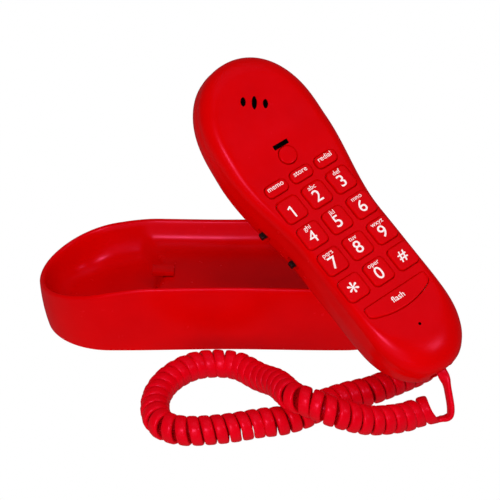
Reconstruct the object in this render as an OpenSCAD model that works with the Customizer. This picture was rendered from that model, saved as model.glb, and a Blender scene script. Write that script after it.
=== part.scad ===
// Slimline telephone for the desk or the wall. The cradle base lies on its back on its
// rubber feet. The handset leans across it, with its lower end on the curly cord.
// Origin: centre of the two wall keyholes, on the outer face of the base's back plate.
// +X runs along the base towards its cord end, +Z points up out of the cradle.

/* [Base] */
// Length of the base
base_len = 206; // [200:1:212]
// Width of the base across the rim
base_wide = 72.5; // [70:0.5:75]
// Height of the rim above the back plate, at mid length
rim_top = 41; // [39:0.5:42]
// Drop of the rim at the earpiece end
ear_dip = 14; // [10:1:15]
// Drop of the rim at the cord end
cord_dip = 6; // [4:1:8]
// Height of the cradle floor under the keypad
floor_top = 28; // [26:0.5:29]
// Distance between the two wall keyholes
keyhole_pitch = 83; // [80:1:85]
// Height of the rubber feet below the back plate
foot_proud = 2; // [1.5:0.1:2.5]

/* [Handset] */
// Half width at the waist, above the keypad
waist_half = 25.2; // [24.7:0.1:25.5]
// Half width at the earpiece
ear_half = 33; // [32:0.1:34]
// Half width at the mouthpiece
mouth_half = 25; // [24.5:0.1:25.5]
// Greatest thickness, behind the keypad
body_deep = 32; // [31:0.5:33]
// Radius of the rounding round the face, at the waist
face_round = 6; // [5:0.5:6.5]
// Angle by which the earpiece end turns towards the ear
bend_angle = 16; // [14:0.5:18]
// Wall thickness of the mouldings
wall = 2.2; // [2:0.1:2.4]

/* [Keys] */
// Key pitch across the keypad
pitch_x = 16; // [15.8:0.1:16.2]
// Key pitch along the keypad
pitch_y = 17.2; // [17:0.1:17.5]
// Key width
key_wide = 12.5; // [12:0.1:13]
// Key height, along the handset
key_tall = 13.2; // [12.8:0.1:13.6]
// Height of the key tops above the face
key_proud = 1.2; // [0.8:0.1:1.5]
// Travel of the keys
key_travel = 1.2; // [1:0.1:1.3]
// Diameter of the hook plunger
plunger_d = 9.6; // [9:0.1:10]

/* [Cord] */
// Outer diameter of the curly cord
coil_d = 15; // [14.5:0.1:15]
// Width of the flat cord
cord_d = 5; // [4.5:0.1:5.2]

/* [Hidden] */

body_red = "red";
cord_red = "crimson";
plastic_black = "black";
board_green = "darkgreen";
gap = 0.3;             // clearance between a moving piece and its guide
round_n = 48;          // facets of the drilled and turned shapes

// ---------- rings and lofts ----------

function flat1(lists) = [for (l = lists) each l];
function clamp01(u) = max(0, min(1, u));
function ease(u) = let (c = clamp01(u)) 3 * c * c - 2 * c * c * c;

// A solid through closed rings of equal length. Point i of a ring mirrors point n - i, and
// the first and last rings are closed by strips that run straight across.
module loft(rings) {
    n = len(rings[0]);
    half = n / 2;
    last = (len(rings) - 1) * n;
    sides = [for (r = [0 : len(rings) - 2]) for (i = [0 : n - 1])
        let (j = (i + 1) % n, a = r * n, b = a + n)
        each [[a + i, a + j, b + j], [a + i, b + j, b + i]]];
    strip = [for (i = [1 : half - 2])
        each [[i, n - i, n - i - 1], [i, n - i - 1, i + 1]]];
    cap = concat([[0, n - 1, 1]], strip, [[half - 1, half + 1, half]]);
    polyhedron(flat1(rings), concat(sides, cap, [for (t = cap) [for (q = t) last + n - 1 - q]]));
}

// ---------- handset ----------

handset_place = [56.5, -31.8, 81.4];   // where the middle of the 5 key lies
handset_turn = [30, -13.5, 34.5];    // how the handset leans
mouth_end = -92;                     // lower tip, along the handset from the 5 key
ear_end = 101.5;                    // upper tip, measured along the bent face
cap_at = 58;                         // the rounded ends begin here, each way
bend_from = 15;                      // the face starts to bend here
bend_radius = 147;
flare = 1;                           // the side walls lean out by this at the seam
cap_steps = 9;                       // steps round each quarter of an end
mid_steps = 10;                      // steps between the ends
bend_len = bend_radius * bend_angle * PI / 180;

function face_angle(s) = bend_angle * clamp01((s - bend_from) / bend_len);
function face_y(s) = s < bend_from ? s : bend_from + bend_radius * sin(face_angle(s))
    + max(0, s - bend_from - bend_len) * cos(bend_angle);
function face_z(s) = s < bend_from ? 0 : bend_radius * (1 - cos(face_angle(s)))
    + max(0, s - bend_from - bend_len) * sin(bend_angle);
// Half width, seam depth and total depth at a distance s along the face
function half_at(s) = waist_half + (ear_half - waist_half) * ease((s + 5) / 55)
    + (mouth_half - waist_half) * ease((-14 - s) / 30);
function seam_at(s) = 15 - 3 * ease(s / cap_at) - 3 * ease((-50 - s) / 42);
function deep_at(s) = body_deep - 9 * ease((s - 10) / 85) - 4 * ease((-45 - s) / 47);
// Radius of the rounding round the face, softer towards the ends
function round_at(s) = face_round + 2 * ease((s - 20) / 60) + 3 * ease((-45 - s) / 40);

// The right half of the outline, as [along, half width], from the mouth tip to the ear tip
mouth_cap = [for (k = [0 : cap_steps]) let (a = 90 * (1 - k / cap_steps))
    [-cap_at + (mouth_end + cap_at) * pow(sin(a), 0.87), half_at(-cap_at) * pow(cos(a), 0.95)]];
middle = [for (k = [1 : mid_steps - 1]) let (s = cap_at * (2 * k / mid_steps - 1))
    [s, half_at(s)]];
ear_cap = [for (k = [0 : cap_steps]) let (a = 90 * k / cap_steps)
    [cap_at + (ear_end - cap_at) * pow(sin(a), 0.87), half_at(cap_at) * pow(cos(a), 0.95)]];
outline = concat(mouth_cap, middle, ear_cap);
stations = len(outline);

// Point of the bent handset at x across, s along and h out of the face
function bent(x, s, h) = [x, face_y(s) - h * sin(face_angle(s)), face_z(s) + h * cos(face_angle(s))];
function pulled(s, f) = s > cap_at ? cap_at + (s - cap_at) * f
    : s < -cap_at ? -cap_at + (s + cap_at) * f : s;
// A ring at share f of the outline, grown by extra, at a depth that ranges with share t
// from the face (0) to the seam (1) and on to the back (2)
function ring(f, extra, t) = let (
    right = [for (p = outline) let (s = pulled(p[0], f),
        d = t <= 1 ? t * seam_at(s) : seam_at(s) + (t - 1) * (deep_at(s) - seam_at(s)))
        [p[1] * f + extra * min(1, p[1] / 10), s, -d]],
    left = [for (i = [stations - 2 : -1 : 1]) let (q = right[i]) [-q[0], q[1], q[2]]])
    [for (q = concat(right, left)) bent(q[0], q[1], q[2])];

// Rings down the rounded face edge, then over the back
function edge_ring(inset, a) = let (
    right = [for (p = outline) let (r = round_at(p[0]),
        f = 1 - (r - (r - inset) * sin(a)) / ear_half)
        [p[1] * f, pulled(p[0], f), -inset - (r - inset) * (1 - cos(a))]],
    left = [for (i = [stations - 2 : -1 : 1]) let (q = right[i]) [-q[0], q[1], q[2]]])
    [for (q = concat(right, left)) bent(q[0], q[1], q[2])];
function face_rings(inset) = [for (a = [0 : 22.5 : 90]) edge_ring(inset, a)];
function seam_ring(inset) = ring(1 - inset / ear_half, flare, 1);
function back_rings(inset) = [for (a = [0, 25, 45, 62, 76, 90]) let (
    c = pow(cos(a), 0.5), k = pow(sin(a), 0.5))
    ring((1 - inset / ear_half) * max(c, 0.32), flare * c, 1 + k * (1 - inset / 17))];
function backwards(list) = [for (i = [len(list) - 1 : -1 : 0]) list[i]];

module on_handset() translate(handset_place) rotate(handset_turn) children();
// Stands children on the face at a distance s along it
module on_face(s, x = 0) translate([x, face_y(s), face_z(s)]) rotate([face_angle(s), 0, 0]) children();

slot_at = 49.7;        // middle of the hook slot
plunger_at = 43.2;     // middle of the hook plunger
ear_holes_at = 75.3;    // middle of the three earpiece slots
ear_holes_turn = -33;  // the row of earpiece slots is turned
mic_at = -68;
knob_places = [19.6, -1.7];   // volume and tone/pulse knobs, along the left wall
knob_depth = 19;
jack_depth = 16;       // middle of the cord jack below the face

module rounded(w, h, r, deep) linear_extrude(deep) union() {
    square([w - 2 * r, h], center = true);
    square([w, h - 2 * r], center = true);
    for (x = [-1, 1]) for (y = [-1, 1])
        translate([x * (w / 2 - r), y * (h / 2 - r)]) circle(r, $fn = round_n);
}

module ear_slots(grow, deep) on_face(ear_holes_at) rotate([0, 0, ear_holes_turn])
    for (i = [-1 : 1]) translate([i * 6, 0, -deep])
        rounded(3 + grow, (i == 0 ? 7 : 5) + grow, 1.4, deep + 1);

// The flash key is a bar with a straight top and a bowed bottom
flash_top = -46.6;
flash_half = 19.2;
flash_side = 5.6;
flash_bow = 4.4;
module flash_outline(grow) polygon(concat(
    [[flash_half + grow, grow], [-flash_half - grow, grow]],
    [for (k = [0 : 12]) let (x = flash_half * (k / 6 - 1))
        [x + grow * (k / 6 - 1), -flash_side - flash_bow * (1 - pow(k / 6 - 1, 2)) - grow]]));

function_at = 31;      // middle of the memo, store and redial keys
function_wide = 12.8;
function_tall = 6.6;

module key_openings() {
    for (i = [-1 : 1]) for (j = [-2 : 1])
        translate([i * pitch_x, j * pitch_y, -8])
            rounded(key_wide + 2 * gap, key_tall + 2 * gap, 2.8, 10);
    for (i = [-1 : 1]) on_face(function_at, i * pitch_x) translate([0, 0, -8])
        rounded(function_wide + 2 * gap, function_tall + 2 * gap, 2.9, 10);
    translate([0, flash_top, -8]) linear_extrude(10) flash_outline(gap);
}

module jack_opening() translate([-7.3, -98, -jack_depth - 5.3]) cube([14.6, 15, 10.6]);

// Screw posts join the halves of the handset, as [across, along]
screw_spots = [[-12, 51], [12, 51], [-14, -66], [14, -66]];
screw_r = 1.45;
screw_hole = 1.5;
screw_grip = 6;        // length of screw on each side of the seam
head_r = 2.8;
head_h = 2;

module on_post(p) on_face(p[1], p[0]) translate([0, 0, -seam_at(p[1])]) children();

module handset_face_shell() color(body_red) on_handset() difference() {
    union() {
        loft(concat(face_rings(0), [seam_ring(0), seam_ring(wall)], backwards(face_rings(wall))));
        for (p = screw_spots) on_post(p) translate([0, 0, 0.1])
            cylinder(r = 3.2, h = seam_at(p[1]) - 1.5, $fn = round_n);
    }
    for (p = screw_spots) on_post(p) translate([0, 0, -1])
        cylinder(r = screw_hole, h = screw_grip + 1.5, $fn = round_n);
    key_openings();
    on_face(plunger_at) translate([0, 0, -8])
        cylinder(d = plunger_d + 2 * gap, h = 12, $fn = round_n);
    on_face(slot_at) translate([-4.6, -1.3, -8]) cube([9.2, 2.6, 12]);
    ear_slots(0, 6);
    translate([0, mic_at, -8]) cylinder(d = 1.6, h = 12, $fn = round_n);
    jack_opening();
}

knob_wide = 3.6;
knob_high = 3;
knob_travel = 2;       // each way
function wall_x(s) = -(half_at(s) + flare);   // outside of the left wall

module handset_back_shell() color(body_red) on_handset() difference() {
    union() {
        loft(concat(backwards(back_rings(wall)), [seam_ring(wall), seam_ring(0)], back_rings(0)));
        for (p = screw_spots) on_post(p) mirror([0, 0, 1]) translate([0, 0, 0.1])
            cylinder(r = 4, h = deep_at(p[1]) - seam_at(p[1]) - 2, $fn = round_n);
    }
    for (p = screw_spots) on_post(p) mirror([0, 0, 1]) {
        translate([0, 0, -1]) cylinder(r = 1.7, h = 20, $fn = round_n);
        translate([0, 0, screw_grip]) cylinder(r = head_r + gap, h = 20, $fn = round_n);
    }
    for (s = knob_places) translate([wall_x(s) - 2, s - knob_wide / 2 - knob_travel - gap,
        -knob_depth - knob_high / 2 - gap])
        cube([6, knob_wide + 2 * knob_travel + 2 * gap, knob_high + 2 * gap]);
    jack_opening();
}

module handset_screws() color("silver") on_handset() for (p = screw_spots) on_post(p)
    mirror([0, 0, 1]) {
        translate([0, 0, -screw_grip]) cylinder(r = screw_r, h = 2 * screw_grip + 0.5, $fn = round_n);
        translate([0, 0, screw_grip + 0.2]) cylinder(r = head_r, h = head_h, $fn = round_n);
    }

// ---------- keys ----------

membrane_top = -4.8;
membrane_h = 1.3;
dome_r = 2.8;
dome_h = 1.1;
key_base = -3.5;       // underside of a key at rest
tab_top = -2.7;        // top of the tabs that hold a key behind the face

module key_cap(w, h, r) difference() {
    union() {
        translate([0, 0, key_base]) rounded(w, h, r, key_proud - key_base - 0.4);
        translate([0, 0, key_proud - 0.5]) rounded(w - 0.7, h - 0.7, r - 0.35, 0.5);
        translate([-4.5, -h / 2 - 0.8, key_base]) cube([9, h + 1.6, tab_top - key_base]);
    }
    translate([0, 0, key_base - 1]) cylinder(r = dome_r + gap, h = 2.6, $fn = round_n);
}

module dial_key(column, row) color(body_red) on_handset()
    translate([column * pitch_x, row * pitch_y, 0]) key_cap(key_wide, key_tall, 2.5);
module function_key(column) color(body_red) on_handset() on_face(function_at, column * pitch_x)
    key_cap(function_wide, function_tall, 2.6);

module key_1() dial_key(-1, 1);
module key_2() dial_key(0, 1);
module key_3() dial_key(1, 1);
module key_4() dial_key(-1, 0);
module key_5() dial_key(0, 0);
module key_6() dial_key(1, 0);
module key_7() dial_key(-1, -1);
module key_8() dial_key(0, -1);
module key_9() dial_key(1, -1);
module key_star() dial_key(-1, -2);
module key_0() dial_key(0, -2);
module key_hash() dial_key(1, -2);
module key_memo() function_key(-1);
module key_store() function_key(0);
module key_redial() function_key(1);

module key_flash() color(body_red) on_handset() translate([0, flash_top, 0]) {
    translate([0, 0, key_base]) linear_extrude(0.6 - key_base) flash_outline(0);
    translate([-13, -9, key_base]) cube([26, 9.8, tab_top - key_base]);
}

module hook_plunger() color(body_red) on_handset() on_face(plunger_at) {
    translate([0, 0, -3.4]) cylinder(d = plunger_d, h = 4.4, $fn = round_n);
    translate([0, 0, -3.4]) cylinder(d = plunger_d + 1.8, h = 0.8, $fn = round_n);
    translate([0, 0, -3.8]) cylinder(d = 4, h = 1, $fn = round_n);
}

module side_knob(s) color(plastic_black) on_handset()
    translate([wall_x(s) - 2, s - knob_wide / 2, -knob_depth - knob_high / 2])
        cube([5.4, knob_wide, knob_high]);
module volume_knob() side_knob(knob_places[0]);
module tone_pulse_knob() side_knob(knob_places[1]);

// ---------- inside the handset ----------

board_top = -6.4;
board_h = 1.6;

module keypad_membrane() color("dimgray") on_handset() {
    translate([-21, -58, membrane_top - membrane_h]) cube([42, 95, membrane_h]);
    for (i = [-1 : 1]) for (j = [-2 : 1]) translate([i * pitch_x, j * pitch_y, membrane_top - 0.1])
        cylinder(r1 = dome_r, r2 = dome_r - 1, h = dome_h + 0.1, $fn = round_n);
}
module handset_circuit_board() color(board_green) on_handset()
    translate([-19, -60, board_top - board_h]) cube([38, 105, board_h]);
module hook_switch() color(plastic_black) on_handset()
    translate([-4, 38, board_top]) cube([8, 7, 2.4]);
module side_switch(s) color("gray") on_handset()
    translate([wall_x(s) + 3.9, s - 5, -knob_depth - 2.5])
        cube([5, 10, knob_depth + 2.5 + board_top - board_h]);
module volume_switch() side_switch(knob_places[0]);
module tone_pulse_switch() side_switch(knob_places[1]);

module receiver_gasket() color("darkslategray") on_handset() on_face(ear_holes_at)
    translate([0, 0, -3.4]) difference() {
        cylinder(r = 15, h = 1, $fn = round_n);
        translate([0, 0, -1]) cylinder(r = 11, h = 3, $fn = round_n);
    }
module receiver_capsule() color("silver") on_handset() on_face(ear_holes_at) {
    translate([0, 0, -9]) cylinder(r = 17, h = 5.5, $fn = round_n);
    translate([0, 0, -12]) cylinder(r = 10, h = 4, $fn = round_n);
}
module microphone_boot() color("dimgray") on_handset() translate([0, mic_at, -8]) difference() {
    cylinder(r = 6.4, h = 5.5, $fn = round_n);
    translate([0, 0, -1]) cylinder(r = 4.9, h = 8, $fn = round_n);
}
module microphone_capsule() color("silver") on_handset() translate([0, mic_at, -9])
    cylinder(r = 4.85, h = 5.5, $fn = round_n);
module ballast_weight() color("gray") on_handset() translate([-11, -30, -27.5]) cube([22, 60, 4.5]);

// ---------- modular jacks and plugs ----------

plug_wide = 7.6;
plug_high = 6.4;
plug_long = 12.5;
jack_face_y = -84.5;

// A jack or plug that faces +X, with the middle of its mouth at the origin
module jack(outer, socket) difference() {
    translate([-12.5, -outer / 2, -4.7]) cube([12.5, outer, 9.4]);
    translate([-11, -socket / 2, -3.5]) cube([12, socket, 7]);
}
module plug() {
    translate([-8, -plug_wide / 2, -plug_high / 2]) cube([plug_long, plug_wide, plug_high]);
}
module at_handset_jack() on_handset() translate([0, jack_face_y, -jack_depth])
    rotate([0, 0, -90]) children();

module handset_cord_jack() color(plastic_black) at_handset_jack() jack(13.6, 8);
module handset_plug() color("lightcyan") at_handset_jack() plug();

// ---------- base ----------

base_cap = 40;         // length of each rounded end
base_flat = base_len / 2 - base_cap;
base_steps = 9;
base_middle = [52, 40, 26, 12, -2, -16, -28, -33.5, -36, -38.5, -41, -47, -55];
base_waist = 1.2;
tuck = 0.07;           // how far the hull draws in at the back plate
step_at = -33.5;       // the floor steps down to the earpiece hollow here

function base_half(x) = base_wide / 2 - base_waist * (1 - ease(abs(x) / 57));
function rim_z(x) = rim_top - ear_dip * pow(clamp01((-x - 40) / 63), 1.6)
    - cord_dip * pow(clamp01((x - 40) / 63), 1.6);
function floor_z(x) = floor_top - 4 * ease((x - 58) / 25) - 7 * ease((step_at - x) / 7.5)
    - 8 * ease((step_at - 5 - x) / 40);

base_right = [for (k = [0 : base_steps]) let (a = 90 * k / base_steps)
    [base_flat + base_cap * cos(a), base_half(base_flat) * sin(a)]];
base_left = [for (k = [0 : base_steps]) let (a = 90 * (1 - k / base_steps))
    [-base_flat - base_cap * cos(a), base_half(base_flat) * sin(a)]];
base_outline = concat(base_right, [for (x = base_middle) [x, base_half(x)]], base_left);
base_stations = len(base_outline);

function base_pulled(x, f) = abs(x) > base_flat
    ? sign(x) * (base_flat + (abs(x) - base_flat) * f) : x;
// A ring at share f of the outline; level(x, outer x) gives its height
function base_ring(f, level) = let (
    right = [for (p = base_outline) let (x = base_pulled(p[0], f)) [x, p[1] * f, level(x, p[0])]])
    concat(right, [for (i = [base_stations - 2 : -1 : 1]) [right[i][0], -right[i][1], right[i][2]]]);
function base_loop(f) = [for (q = base_ring(f, function (x, o) 0)) [q[0], q[1]]];

cradle_rings = [
    base_ring(0.6, function (x, o) floor_z(x)),
    base_ring(0.74, function (x, o) floor_z(x) + 1),
    base_ring(0.83, function (x, o) floor_z(x) * 0.72 + rim_z(o) * 0.28),
    base_ring(0.88, function (x, o) floor_z(x) * 0.42 + rim_z(o) * 0.58),
    base_ring(0.92, function (x, o) rim_z(o) - 1.2),
    base_ring(0.96, function (x, o) rim_z(o)),
    base_ring(0.99, function (x, o) rim_z(o) - 0.5)
];
hull_rings = [for (v = [0.92, 0.65, 0.4, 0.2, 0.08, 0])
    base_ring(1 - tuck * pow(1 - v, 2.2), function (x, o) rim_z(o) * v)];

plate_h = 2.4;
plate_f = 0.85;
base_screw_spots = [[-50, -18], [-50, 18], [50, -18], [50, 18]];
jack_bay_x = 89;
jack_z = 7.8;
cord_jack_y = -9.5;
line_jack_y = 9.5;
tab_pocket = [5.6, 8.6, 4.6];     // pocket that holds the hook tab's tongue
tab_x = -35.2;

module hull_space(x0, x1, top) translate([0, 0, plate_h + 0.2]) intersection() {
    linear_extrude(top - plate_h - 0.2) polygon(base_loop(0.84));
    translate([x0, -50, 0]) cube([x1 - x0, 100, top]);
}

module base_cradle_shell() color(body_red) difference() {
    union() {
        difference() {
            loft(concat(cradle_rings, hull_rings));
            hull_space(-82, -34, 10.6);
            hull_space(-34.1, 57, 25.4);
            hull_space(56.9, 84, 21);
        }
        for (p = base_screw_spots) translate([p[0], p[1], plate_h + 0.2])
            cylinder(r = 3.6, h = (p[0] < 0 ? 10.6 : 25.4) - plate_h + 0.5, $fn = round_n);
    }
    translate([0, 0, -1]) linear_extrude(plate_h + 1.2) polygon(base_loop(plate_f + 0.007));
    for (p = base_screw_spots) translate([p[0], p[1], 0])
        cylinder(r = screw_hole, h = 9.6, $fn = round_n);
    // bay for the two jacks, with a window behind each
    translate([jack_bay_x, -17, -1]) cube([30, 34, 14]);
    translate([80, cord_jack_y - 6.1, plate_h]) cube([10, 12.2, 10.5]);
    translate([80, line_jack_y - 6.8, plate_h]) cube([10, 13.6, 10.5]);
    // pocket for the hook tab and the slot beside it
    translate([tab_x, -tab_pocket[1] / 2, floor_top - tab_pocket[2]])
        cube([tab_pocket[0], tab_pocket[1], 10]);
    translate([-41.6, -13.5, 9]) cube([3.2, 7.5, 20]);
}

module hook_tab() color(body_red) {
    translate([tab_x + gap, -tab_pocket[1] / 2 + gap, floor_top - tab_pocket[2] + gap])
        cube([tab_pocket[0] - 2 * gap, tab_pocket[1] - 2 * gap, tab_pocket[2] + 0.5]);
    translate([-41.2, -4.3, floor_top + gap]) cube([12, 8.6, 2.7]);
}

module base_back_plate() color("firebrick") difference() {
    linear_extrude(plate_h) polygon(base_loop(plate_f));
    for (s = [-1, 1]) translate([s * keyhole_pitch / 2, 0, -1]) {
        cylinder(r = 4.75, h = 5, $fn = round_n);
        translate([-8, -2.5, 0]) cube([8, 5, 5]);
        translate([-8, 0, 0]) cylinder(r = 2.5, h = 5, $fn = round_n);
    }
    for (p = base_screw_spots) translate([p[0], p[1], -1]) {
        cylinder(r = 1.7, h = 5, $fn = round_n);
        cylinder(r = head_r + gap, h = 2.2, $fn = round_n);
    }
    translate([jack_bay_x, -17, -1]) cube([30, 34, 5]);
}

module base_screws() color("silver") for (p = base_screw_spots) translate([p[0], p[1], 0]) {
    translate([0, 0, 0.1]) cylinder(r = head_r, h = 1, $fn = round_n);
    translate([0, 0, 1]) cylinder(r = screw_r, h = 7.5, $fn = round_n);
}

module rubber_feet() color(plastic_black) for (x = [-83, 83]) for (y = [-17, 17])
    translate([x, y, -foot_proud]) cylinder(r = 4.5, h = foot_proud, $fn = round_n);

module base_circuit_board() color(board_green) translate([-25, -22, 5]) cube([47, 44, 1.6]);
module ringer() color(plastic_black) translate([-68, 0, plate_h + 0.2]) difference() {
    cylinder(r = 11, h = 6.4, $fn = round_n);
    translate([0, 0, 5.4]) cylinder(r = 1.5, h = 2, $fn = round_n);
}
module base_cord_jack() color(plastic_black)
    translate([jack_bay_x - 0.1, cord_jack_y, jack_z]) jack(11.6, 8);
module line_jack() color(plastic_black)
    translate([jack_bay_x - 0.1, line_jack_y, jack_z]) jack(13, 9.8);
module base_plug() color("lightcyan")
    translate([jack_bay_x - 0.1, cord_jack_y, jack_z]) plug();

// ---------- cord ----------

lay_z = coil_d / 2 - foot_proud;   // middle of the coil where it lies on the table
coil_route = [
    [104, -90, lay_z], [96, -93, lay_z], [88, -98, 6.5], [71, -105.5, 11], [54, -108, 18],
    [43, -105, 21], [33, -99, 21], [26, -81.5, 15], [17, -67, 8], [6.5, -55, lay_z],
    [-4, -52.5, lay_z], [-15.5, -54, lay_z], [-24.5, -60, lay_z], [-31.5, -69, lay_z],
    [-35.5, -80.5, lay_z], [-35.5, -92.5, lay_z], [-32, -101.5, lay_z], [-24.5, -106, lay_z],
    [-15, -107, lay_z], [1, -105, lay_z], [17, -101, lay_z], [28, -99, lay_z],
    [39, -94, lay_z], [50, -85.5, lay_z], [62, -79.5, lay_z], [73, -75.5, lay_z],
    [82, -70.5, lay_z], [91, -65, lay_z], [101, -58, lay_z], [110, -48, lay_z],
    [114, -36, lay_z]
];
handset_tail_route = [
    [107.2, -81.3, 24.4], [108.6, -82.9, 22.9], [110.6, -84.9, 18.6], [112, -88, 13],
    [113, -91, 7.5], [112.8, -92.3, 3.5], [110.8, -92.3, 1.5], [108, -92.6, 1.2],
    [105.7, -93.5, 1.4]
];
base_tail_route = [
    [114.1, -35.8, lay_z], [114.6, -30, lay_z], [113, -22.5, lay_z + 0.5],
    [108.5, -15, lay_z + 1.3], [99, -9.7, jack_z], [93.6, -9.5, jack_z]
];

// A smooth curve through the route's points, with a number of steps between each pair
function spline(p0, p1, p2, p3, u) = 0.5 * ((2 * p1) + (p2 - p0) * u
    + (2 * p0 - 5 * p1 + 4 * p2 - p3) * u * u + (3 * p1 - p0 - 3 * p2 + p3) * u * u * u);
function smooth_route(r, steps) = let (n = len(r)) concat([for (i = [0 : n - 2])
    for (k = [0 : steps - 1]) spline(r[max(0, i - 1)], r[i], r[i + 1], r[min(n - 1, i + 2)], k / steps)],
    [r[n - 1]]);
function unit(v) = v / norm(v);
// A round tube along a route. Its first and last rings are upright to the route.
module tube(route, steps, d, sides) {
    path = smooth_route(route, steps);
    n = len(path);
    rings = [for (i = [0 : n - 1]) let (
        t = unit(path[min(n - 1, i + 1)] - path[max(0, i - 1)]),
        a = unit(cross(t, [0, 0, 1])), b = cross(a, t))
        [for (k = [0 : sides - 1]) let (q = 360 * (k + 0.5) / sides)
            path[i] + (a * cos(q) + b * sin(q)) * (d / 2)]];
    skin = [for (i = [0 : n - 2]) for (k = [0 : sides - 1])
        let (j = (k + 1) % sides, a = i * sides, b = a + sides)
        each [[a + k, b + j, b + k], [a + k, a + j, b + j]]];
    polyhedron(flat1(rings), concat(skin, [[for (k = [0 : sides - 1]) sides - 1 - k]],
        [[for (k = [0 : sides - 1]) (n - 1) * sides + k]]));
}

module cord_coil() color(cord_red) tube(coil_route, 2, coil_d, 12);
module cord_handset_tail() color(cord_red) tube(handset_tail_route, 2, cord_d, 8);
module cord_base_tail() color(cord_red) tube(base_tail_route, 2, cord_d, 8);

base_cradle_shell();
base_back_plate();
hook_tab();
base_circuit_board();
ringer();
base_cord_jack();
line_jack();
rubber_feet();
base_screws();
handset_face_shell();
handset_back_shell();
keypad_membrane();
handset_circuit_board();
receiver_gasket();
receiver_capsule();
microphone_boot();
microphone_capsule();
hook_switch();
volume_switch();
tone_pulse_switch();
handset_cord_jack();
ballast_weight();
handset_screws();
key_1();
key_2();
key_3();
key_4();
key_5();
key_6();
key_7();
key_8();
key_9();
key_star();
key_0();
key_hash();
key_memo();
key_store();
key_redial();
key_flash();
hook_plunger();
volume_knob();
tone_pulse_knob();
handset_plug();
base_plug();
cord_coil();
cord_handset_tail();
cord_base_tail();
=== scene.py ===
"""Looks of a slimline wall telephone: camera, curly cord, smooth shells, keys, legends,
materials and light. Lengths are in millimetres until mm() turns them into metres."""

import math

import bmesh
import bpy
from mathutils import Euler, Matrix, Vector


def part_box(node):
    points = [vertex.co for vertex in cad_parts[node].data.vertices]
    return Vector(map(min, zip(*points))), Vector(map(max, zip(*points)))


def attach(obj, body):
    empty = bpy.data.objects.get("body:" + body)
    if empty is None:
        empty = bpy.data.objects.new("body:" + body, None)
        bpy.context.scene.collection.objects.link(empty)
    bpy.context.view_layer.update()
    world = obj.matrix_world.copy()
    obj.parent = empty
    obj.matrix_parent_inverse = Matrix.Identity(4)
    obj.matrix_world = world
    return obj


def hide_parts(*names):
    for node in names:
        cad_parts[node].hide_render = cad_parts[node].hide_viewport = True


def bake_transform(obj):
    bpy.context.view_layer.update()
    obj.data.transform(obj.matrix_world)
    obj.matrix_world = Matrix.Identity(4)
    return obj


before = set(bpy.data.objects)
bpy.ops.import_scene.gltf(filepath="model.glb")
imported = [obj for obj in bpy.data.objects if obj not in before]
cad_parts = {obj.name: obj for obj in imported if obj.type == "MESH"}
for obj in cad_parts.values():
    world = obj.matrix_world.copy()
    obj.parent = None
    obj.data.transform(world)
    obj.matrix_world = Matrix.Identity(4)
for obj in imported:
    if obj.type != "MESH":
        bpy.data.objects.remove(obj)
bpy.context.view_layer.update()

MM = 0.001
UP = Vector((0, 0, 1))
FLOOR_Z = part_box("rubber_feet")[0][2]


def mm(x, y, z):
    return Vector((x, y, z)) * MM


def clamp01(u):
    return max(0.0, min(1.0, u))


def ease(u):
    u = clamp01(u)
    return u * u * (3 - 2 * u)


# ---------- camera ----------

CAMERA_AT = (12.1, -663.5, 473.5)
CAMERA_ELEVATION = 33
CAMERA_LENS = 105.1

camera_data = bpy.data.cameras.new("camera")
camera_data.lens = CAMERA_LENS
camera_data.sensor_width = 36
camera = bpy.data.objects.new("camera", camera_data)
camera.location = mm(*CAMERA_AT)
camera.rotation_euler = (math.radians(90 - CAMERA_ELEVATION), 0, 0)
bpy.context.scene.collection.objects.link(camera)
bpy.context.scene.camera = camera
bpy.context.scene.render.resolution_x = 1000
bpy.context.scene.render.resolution_y = 1000


# ---------- materials ----------


def new_material(name, color, roughness, **inputs):
    """A principled material whose colour and roughness vary a little, with fine bumps.
    grain is the size of the bumps in metres, bump their height, patch the size of the
    uneven areas, and vary the spread of their brightness."""
    grain = inputs.pop("grain", 0.0006)
    bump = inputs.pop("bump", 0.00001)
    vary = inputs.pop("vary", 0.08)
    patch = inputs.pop("patch", 0.02)
    rough_spread = inputs.pop("rough_spread", 0.06)
    stretch = inputs.pop("stretch", (1, 1, 1))
    material = bpy.data.materials.new(name)
    material.use_nodes = True
    nodes, links = material.node_tree.nodes, material.node_tree.links
    shader = nodes["Principled BSDF"]
    place = nodes.new("ShaderNodeTexCoord")
    scale = nodes.new("ShaderNodeMapping")
    scale.inputs["Scale"].default_value = stretch
    links.new(place.outputs["Object"], scale.inputs["Vector"])

    def noise(size, detail):
        node = nodes.new("ShaderNodeTexNoise")
        node.inputs["Scale"].default_value = 1 / size
        node.inputs["Detail"].default_value = detail
        links.new(scale.outputs["Vector"], node.inputs["Vector"])
        return node.outputs["Fac"]

    ramp = nodes.new("ShaderNodeValToRGB")
    for stop, share in ((0, 1 - vary), (1, 1 + vary)):
        ramp.color_ramp.elements[stop].color = (*[min(1, c * share) for c in color], 1)
    ramp.color_ramp.elements[0].position = 0.3
    ramp.color_ramp.elements[1].position = 0.7
    links.new(noise(patch, 3), ramp.inputs["Fac"])
    links.new(ramp.outputs["Color"], shader.inputs["Base Color"])

    rough = nodes.new("ShaderNodeMapRange")
    rough.inputs["To Min"].default_value = max(0.02, roughness - rough_spread)
    rough.inputs["To Max"].default_value = roughness + rough_spread
    links.new(noise(patch / 3, 4), rough.inputs["Value"])
    links.new(rough.outputs["Result"], shader.inputs["Roughness"])

    relief = nodes.new("ShaderNodeBump")
    relief.inputs["Strength"].default_value = 1
    relief.inputs["Distance"].default_value = bump
    links.new(noise(grain, 2), relief.inputs["Height"])
    links.new(relief.outputs["Normal"], shader.inputs["Normal"])
    for key, value in inputs.items():
        shader.inputs[key.replace("_", " ")].default_value = value
    return material


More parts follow.
